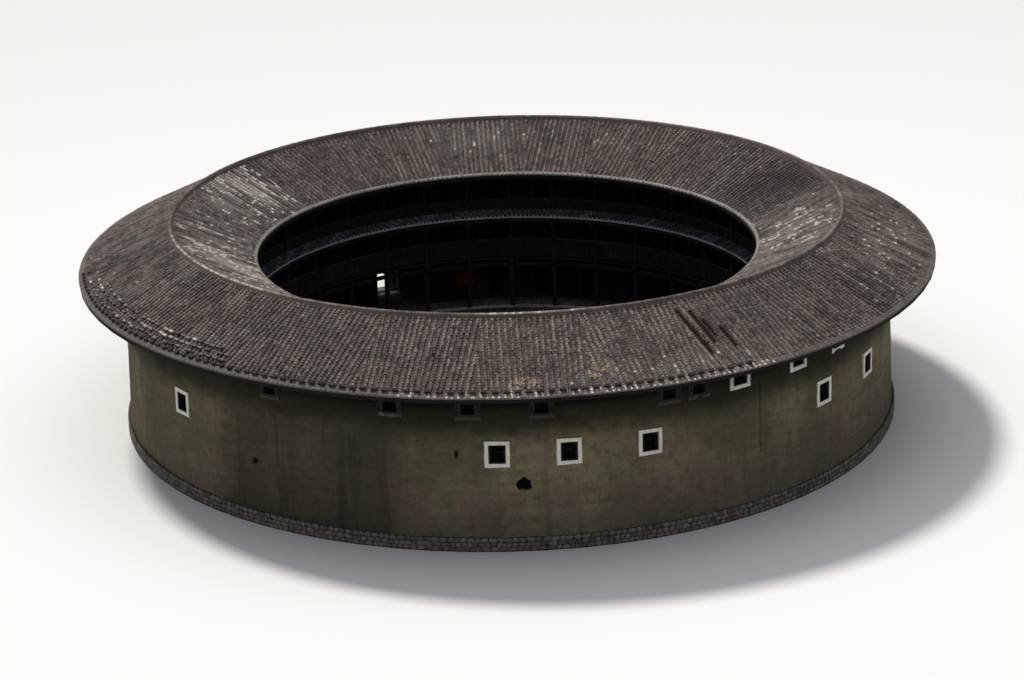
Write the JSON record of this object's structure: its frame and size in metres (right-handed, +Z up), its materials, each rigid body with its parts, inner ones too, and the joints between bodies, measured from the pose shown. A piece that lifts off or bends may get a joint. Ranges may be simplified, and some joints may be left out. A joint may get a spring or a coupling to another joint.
{
  "type": "tulou roundhouse",
  "caption": "Ring-shaped rammed-earth clan house with a stone plinth, timber galleries around an open courtyard, and a wide tiled ring roof.",
  "frame": {"origin": "centre of the ring at ground level, under the plinth's base", "axes": "+Z up; +Y away from the side that the picture shows; +X to the right of it; the gate is 110 degrees anticlockwise from +X"},
  "size_m": [39.6, 39.6, 9.67],
  "materials": {
    "rammed_earth": "dark brown-grey rammed earth, rough, with faint lift lines",
    "cobble_stone": "rough dark river stones in lime mortar",
    "dressed_stone": "dressed grey stone",
    "roof_tile": "unglazed grey-brown clay tiles, weathered",
    "ridge_tile": "pale weathered clay tiles bedded in lime",
    "dark_timber": "very dark aged fir, unpainted"
  },
  "bodies": {
    "root": {"earth_wall_01": "rammed_earth", "earth_wall_02": "rammed_earth", "earth_wall_03": "rammed_earth", "earth_wall_04": "rammed_earth", "earth_wall_05": "rammed_earth", "earth_wall_06": "rammed_earth", "earth_wall_07": "rammed_earth", "earth_wall_08": "rammed_earth", "earth_wall_09": "rammed_earth", "earth_wall_10": "rammed_earth", "earth_wall_11": "rammed_earth", "earth_wall_12": "rammed_earth", "plinth_north_east": "cobble_stone", "plinth_north_west": "cobble_stone", "plinth_south_west": "cobble_stone", "plinth_south_east": "cobble_stone", "courtyard_floor": "cobble_stone", "ground_walkway": "cobble_stone", "gate_jamb_east": "dressed_stone", "gate_jamb_west": "dressed_stone", "gate_lintel": "dressed_stone", "gate_threshold": "dressed_stone", "roof_outer_slope": "roof_tile", "roof_inner_slope": "roof_tile", "skirt_roof": "roof_tile", "roof_ridge": "ridge_tile", "ground_arcade": "dark_timber", "second_floor": "dark_timber", "third_floor": "dark_timber", "second_gallery": "dark_timber", "third_gallery": "dark_timber", "ground_room_front_north_east": "dark_timber", "ground_room_front_north_west": "dark_timber", "ground_room_front_south_west": "dark_timber", "ground_room_front_south_east": "dark_timber", "second_room_front_north_east": "dark_timber", "second_room_front_north_west": "dark_timber", "second_room_front_south_west": "dark_timber", "second_room_front_south_east": "dark_timber", "third_room_front_north_east": "dark_timber", "third_room_front_north_west": "dark_timber", "third_room_front_south_west": "dark_timber", "third_room_front_south_east": "dark_timber", "roof_frame": "dark_timber", "skirt_roof_plate": "dark_timber"}
  },
  "joints": []
}
